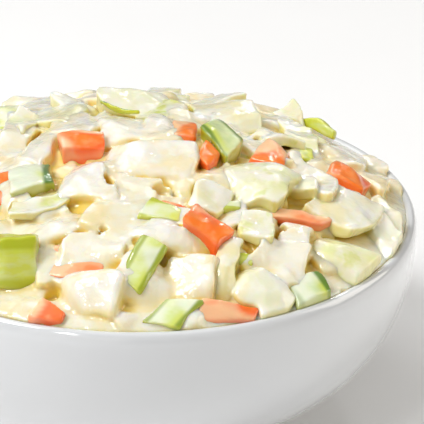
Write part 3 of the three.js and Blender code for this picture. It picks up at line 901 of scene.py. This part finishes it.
class Paint:
    """A material with short calls for its nodes. Depths are in millimetres."""

    def __init__(self, name, roughness, coat=0, coat_roughness=0.1, subsurface=0, depth=0, radius=WARM):
        self.material = bpy.data.materials.new(name)
        self.material.use_nodes = True
        self.tree = self.material.node_tree
        self.shader = self.tree.nodes["Principled BSDF"]
        values = (roughness, coat, coat_roughness, subsurface, radius, depth * MM)
        for socket, value in zip(SOCKETS, values):
            self.shader.inputs[socket].default_value = value
        self.place = self.tree.nodes.new("ShaderNodeTexCoord").outputs["Object"]

    def put(self, socket, value):
        if isinstance(value, bpy.types.NodeSocket):
            self.tree.links.new(value, socket)
        else:
            socket.default_value = value

    def node(self, kind, inputs, output, **settings):
        """Makes a node, puts its inputs and gives the output that is wanted."""
        node = self.tree.nodes.new(kind)
        for name, value in settings.items():
            setattr(node, name, value)
        for name, value in inputs.items():
            self.put(node.inputs[name], value)
        return node.outputs[output]

    def channels(self, name="Paint"):
        """The four numbers painted on each point."""
        colour = self.node("ShaderNodeAttribute", {}, "Color", attribute_name=name)
        first = self.node("ShaderNodeSeparateColor", {"Color": colour}, 0)
        return [*first.node.outputs, colour.node.outputs["Alpha"]]

    def noise(self, wave, detail=2.0, stretch=(1, 1, 1)):
        """Noise between 0 and 1 with bumps about a wave apart, in millimetres."""
        place = self.node("ShaderNodeMapping", {"Vector": self.place, "Scale": stretch}, "Vector")
        inputs = {"Vector": place, "Scale": 1 / (wave * MM), "Detail": detail}
        return self.node("ShaderNodeTexNoise", inputs, "Fac")

    def step(self, value, low, high, low_out=0.0, high_out=1.0):
        """A value's place between low and high, smoothly, from low_out to high_out."""
        inputs = {"Value": value, "From Min": low, "From Max": high, "To Min": low_out, "To Max": high_out}
        return self.node("ShaderNodeMapRange", inputs, "Result", interpolation_type="SMOOTHSTEP")

    def math(self, operation, first, second):
        return self.node("ShaderNodeMath", {0: first, 1: second}, 0, operation=operation)

    def mix(self, share, first, second):
        """Colours are given as read on a screen."""
        first, second = (srgb(*part) if isinstance(part, tuple) else part for part in (first, second))
        return self.node("ShaderNodeMix", {"Factor": share, 6: first, 7: second}, 2, data_type="RGBA")

    def bump(self, wave, distance, detail=2.0, normal=None):
        """A surface with bumps about a wave apart and a distance high, in millimetres."""
        inputs = {"Strength": 1, "Distance": distance * MM, "Height": self.noise(wave, detail)}
        if normal is not None:
            inputs["Normal"] = normal
        return self.node("ShaderNodeBump", inputs, "Normal")

    def wet(self, wave, distance):
        """Breaks the coat's reflections up into small glints."""
        self.put(self.shader.inputs["Coat Normal"], self.bump(wave, distance))

    def finish(self, colour, normal=None, roughness=None):
        for name, value in (("Base Color", colour), ("Normal", normal), ("Roughness", roughness)):
            if value is not None:
                self.put(self.shader.inputs[name], value)
        return self.material


def porcelain_material():
    paint = Paint("glazed_porcelain", roughness=0.16, coat=1.0, coat_roughness=0.04)
    clouds = paint.noise(24, detail=3)
    colour = paint.mix(clouds, (215, 217, 220), (220, 222, 224))
    ripple = paint.bump(16, 0.05, detail=1)
    return paint.finish(colour, ripple, paint.step(clouds, 0.3, 0.7, 0.13, 0.2))


def shaded(paint, colour, hollows, crevice, hollow):
    """Paints shade into a colour: it turns to the crevice's colour on steep sides and in gaps, to the
    hollow's in deep gaps and to a brown painted shadow in pits.
    """
    near, wide, far = hollows
    colour = paint.mix(paint.step(far, 0, 0.6, 0, 0.6), colour, crevice)
    colour = paint.mix(paint.step(near, 0, 0.5, 0, 0.75), colour, crevice)
    colour = paint.mix(paint.step(wide, 0, 0.55, 0, 0.75), colour, hollow)
    return paint.mix(paint.step(near, 0.45, 0.8, 0, 0.9), colour, PIT_PAINTED_SHADOW)


def mottled(paint, colour, glow_colour):
    """A colour with warm patches of painted glow, for light that comes through the flesh, and pale ones
    where the dressing is thick.
    """
    colour = paint.mix(paint.step(paint.noise(10), 0.46, 0.7, 0, 0.6), colour, glow_colour)
    return paint.mix(paint.step(paint.noise(4.5, detail=3), 0.5, 0.66, 0, 0.65), colour, THICK_DRESSING)


def cabbage_material():
    paint = Paint("cabbage_in_dressing", 0.34, coat=0.9, coat_roughness=0.05, subsurface=0.9, depth=1.9)
    *hollows, tint = paint.channels()
    clouds = paint.noise(7)
    cream = paint.mix(paint.step(tint, 0, 0.6), (236, 234, 226), (234, 229, 206))
    cream = paint.mix(paint.step(tint, 0.5, 1), cream, (237, 224, 196))
    cream = mottled(paint, cream, (234, 214, 148))
    # Painted warm shade in gaps and on steep sides, and painted shadow in pits.
    warm = shaded(paint, cream, hollows, (239, 213, 104), (236, 202, 64))
    skin = paint.bump(1.4, 0.07)
    skin = paint.bump(6, 0.15, detail=1, normal=skin)
    paint.wet(2.2, 0.4)
    return paint.finish(warm, skin, paint.step(clouds, 0.3, 0.7, 0.26, 0.42))


def smeared(paint, colour, along, tint, nearness, film):
    """A colour that fades under dressing: near the white pieces, at one end and in soft patches."""
    patches = paint.step(paint.noise(9, detail=1), 0.35, 0.68, 0, 1.2)
    patches = paint.math("ADD", patches, paint.step(along, 0, 0.6, 0.6, 0))
    bare = paint.step(tint, 0, 1, 0.1, 1.0)
    smear = paint.math("SUBTRACT", paint.math("ADD", nearness, patches), bare)
    return paint.mix(paint.step(smear, 0.2, 1.1, 0, 0.88), colour, film)


def leaf_material():
    paint = Paint("cabbage_leaf", 0.32, coat=0.9, coat_roughness=0.05, subsurface=0.8, depth=1.6)
    along, across, _, tint = paint.channels()
    *hollows, nearness = paint.channels("Shade")
    streaks = paint.noise(5)
    pale = (241, 239, 228)
    green = paint.mix(tint, (236, 235, 212), (216, 222, 122))
    ridge = paint.step(paint.math("ABSOLUTE", paint.math("SUBTRACT", across, 0.5), 0), 0.1, 0.5, 0, 0.9)
    green = paint.mix(ridge, green, pale)
    green = paint.mix(paint.step(streaks, 0.4, 0.65, 0, 0.8), green, pale)
    lime = paint.step(paint.noise(5, detail=3), 0.54, 0.66)
    green = paint.mix(paint.math("MULTIPLY", lime, tint), green, (198, 214, 64))
    colour = smeared(paint, green, along, tint, nearness, (236, 234, 220))
    colour = mottled(paint, colour, (232, 220, 160))
    # Painted warm shade in gaps and on steep sides, and painted shadow in pits.
    colour = shaded(paint, colour, hollows, (230, 217, 90), (220, 200, 48))
    veins = paint.bump(1.8, 0.08)
    paint.wet(2.2, 0.4)
    return paint.finish(colour, veins)


def carrot_material():
    paint = Paint("carrot", 0.3, coat=0.7, coat_roughness=0.06, subsurface=0.5, depth=1.2, radius=ORANGE)
    along, _, up, tint = paint.channels()
    *hollows, nearness = paint.channels("Shade")
    orange = paint.mix(paint.step(paint.noise(9, detail=1), 0.4, 0.6), (255, 128, 30), (250, 106, 50))
    streaks = paint.noise(2.4)
    orange = paint.mix(paint.step(streaks, 0.45, 0.75, 0, 0.6), orange, (255, 168, 104))
    # Painted shade: deeper red-orange down the sides and underside, below the top face.
    orange = paint.mix(paint.step(up, 0.7, 0.95, 0.6, 0), orange, (252, 96, 28))
    film = smeared(paint, orange, along, tint, nearness, (253, 210, 164))
    # Painted shade in gaps and on steep sides, and painted shadow in pits.
    colour = shaded(paint, film, hollows, (250, 108, 40), (236, 84, 24))
    skin = paint.bump(2.2, 0.08)
    paint.wet(2.2, 0.3)
    return paint.finish(colour, skin)


def green_material():
    paint = Paint("green_pieces", 0.3, coat=0.7, coat_roughness=0.06, subsurface=0.6, depth=1.6)
    along, across, up, tint = paint.channels()
    *hollows, nearness = paint.channels("Shade")
    flesh = paint.mix(tint, (206, 222, 176), (220, 226, 96))
    stripes = paint.noise(3.0, stretch=(1, 1, 2.5))
    flesh = paint.mix(paint.step(stripes, 0.4, 0.65, 0, 0.75), flesh, (222, 230, 176))
    flesh = paint.mix(paint.step(across, 0.55, 0.8, 0, 0.8), flesh, (206, 216, 66))
    flesh = paint.mix(paint.step(up, 0.7, 0.95, 0.25, 0), flesh, (204, 214, 76))
    skin = paint.mix(tint, (72, 118, 40), (190, 198, 34))
    flesh = paint.mix(paint.step(tint, 1.4, 1.8), flesh, (112, 138, 46))
    film = smeared(paint, flesh, along, tint, nearness, (232, 237, 216))
    far_rim = paint.step(across, 0.76, 0.88, 0, 0.95)
    near_rim = paint.math("MULTIPLY", paint.step(across, 0.08, 0.22, 0.85, 0), paint.step(tint, 0.05, 0.15))
    rimmed = paint.mix(paint.math("MAXIMUM", far_rim, near_rim), film, skin)
    # Painted shade in gaps and on steep sides, and painted shadow in pits.
    colour = shaded(paint, rimmed, hollows, (196, 198, 40), (172, 162, 24))
    surface = paint.bump(2.2, 0.08)
    paint.wet(2.2, 0.3)
    return paint.finish(colour, surface)


def core_material():
    paint = Paint("dressing", 0.4, subsurface=0.5, depth=3)
    # Dressing, painted golden as warm shade for where it shows deep between the pieces.
    colour = paint.mix(paint.noise(4, detail=3), (232, 190, 96), (240, 208, 124))
    return paint.finish(colour, paint.bump(2.4, 0.3))


# ---- Placing ----
def dress(piece, material, node):
    """Gives a piece its material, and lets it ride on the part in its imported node's place."""
    piece.data.materials.append(material)
    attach(piece, "root")
    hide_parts(node)


FLOOR_SIZE = 6.0  # m
FLOOR_GAP = 0.0002  # m


def make_floor():
    bpy.ops.mesh.primitive_plane_add(size=FLOOR_SIZE, location=(0, 0, bowl_low[2] - FLOOR_GAP))
    floor = bpy.context.object
    floor.name = "studio_floor"
    paint = Paint("pale_floor", 0.6)
    colour = paint.mix(paint.noise(60), (243, 243, 243), (246, 246, 246))
    floor.data.materials.append(paint.finish(colour))


# ---- Camera and light ----
PICTURE_SIZE = 424  # pixels
FOCAL = 2000  # pixels
RIM_CENTRE = (138.3, 203.0)  # pixels from the picture's left and top
CAMERA_DISTANCE = 448.5  # mm, from the rim's centre
CAMERA_ELEVATION = 24.74  # degrees
SENSOR = 36.0  # mm
LIGHT_DISTANCE = 1.4  # m, from the rim's centre
WORLD_LIGHT = 0.15
WHITE = (1, 1, 1)
WARM_LIGHT = (1, 0.94, 0.84)
# Square soft lights: azimuth (0 is the camera's side, 90 the right), elevation, size (m), power and colour.
LIGHTS = {
    "key": (-75, 52, 0.5, 14.5, WHITE),
    "front_glints": (-30, 38, 0.12, 2, WHITE),
    "back_glints": (165, 35, 0.15, 1.2, WHITE),
    "side_fill": (95, 26, 0.9, 7.5, WARM_LIGHT),
    "corner_fill": (45, 10, 0.9, 0.6, WARM_LIGHT),
    "front_fill": (-25, 12, 1.0, 2, WARM_LIGHT),
    "back_light": (-140, 50, 0.6, 3, WHITE),
    "top_light": (0, 88, 1.2, 3, WHITE),
}


def make_camera():
    """Looks along +Y and down, turned so that the rim's centre lies at its place in the picture."""
    level = math.radians(CAMERA_ELEVATION)
    pan, tilt = (math.atan((pixel - PICTURE_SIZE / 2) / FOCAL) for pixel in RIM_CENTRE)
    away = Vector((0, -math.cos(level), math.sin(level)))
    place = Vector((0, 0, BOWL_HEIGHT)) + away * CAMERA_DISTANCE
    turn = Matrix.Rotation(math.pi / 2 - level, 4, "X")
    turn = turn @ Matrix.Rotation(pan, 4, "Y") @ Matrix.Rotation(tilt, 4, "X")
    lens = bpy.data.cameras.new("camera")
    lens.sensor_width = SENSOR
    lens.lens = FOCAL * SENSOR / PICTURE_SIZE
    lens.clip_start = 0.01
    lens.clip_end = 20
    camera = bpy.data.objects.new("camera", lens)
    camera.matrix_world = Matrix.Translation(place * MM) @ turn
    bpy.context.collection.objects.link(camera)
    bpy.context.scene.camera = camera


def make_lights():
    for name, (azimuth, elevation, size, power, colour) in LIGHTS.items():
        turn, level = math.radians(azimuth), math.radians(elevation)
        reach = math.cos(level)
        away = Vector((math.sin(turn) * reach, -math.cos(turn) * reach, math.sin(level)))
        light = bpy.data.lights.new(name, "AREA")
        light.size = size
        light.energy = power
        light.color = colour
        lamp = bpy.data.objects.new(name, light)
        lamp.location = Vector((0, 0, BOWL_HEIGHT * MM)) + away * LIGHT_DISTANCE
        lamp.rotation_mode = "QUATERNION"
        lamp.rotation_quaternion = away.to_track_quat("Z", "Y")
        bpy.context.collection.objects.link(lamp)
    world = bpy.data.worlds.new("studio")
    bpy.context.scene.world = world
    world.use_nodes = True
    background = world.node_tree.nodes["Background"]
    background.inputs["Color"].default_value = (1, 1, 1, 1)
    background.inputs["Strength"].default_value = WORLD_LIGHT
    bpy.context.scene.view_settings.view_transform = "Standard"


def main():
    make_camera()
    make_floor()
    bowl = turned("porcelain_bowl", bowl_profile(), BOWL_SEGMENTS)
    dress(bowl, porcelain_material(), "bowl")
    pieces = lay_pieces()
    core = turned("dressing_core", core_profile(), CORE_SEGMENTS)
    dress(core, core_material(), "slaw")
    coated = make_coated_field(pieces)
    white = make_side_field(pieces, white=True)
    coloured = make_side_field(pieces, white=False)
    dress(make_coated(pieces, coated, coloured), cabbage_material(), "slaw")
    for name, kind, cell, material in (
        ("cabbage_leaves", "leaf", LEAF_CELL, leaf_material()),
        ("carrot_dice", "carrot", DICE_CELL, carrot_material()),
        ("green_dice", "green", DICE_CELL, green_material()),
    ):
        dress(make_kind(name, pieces, kind, cell, coated, white), material, "slaw")
    make_lights()


main()
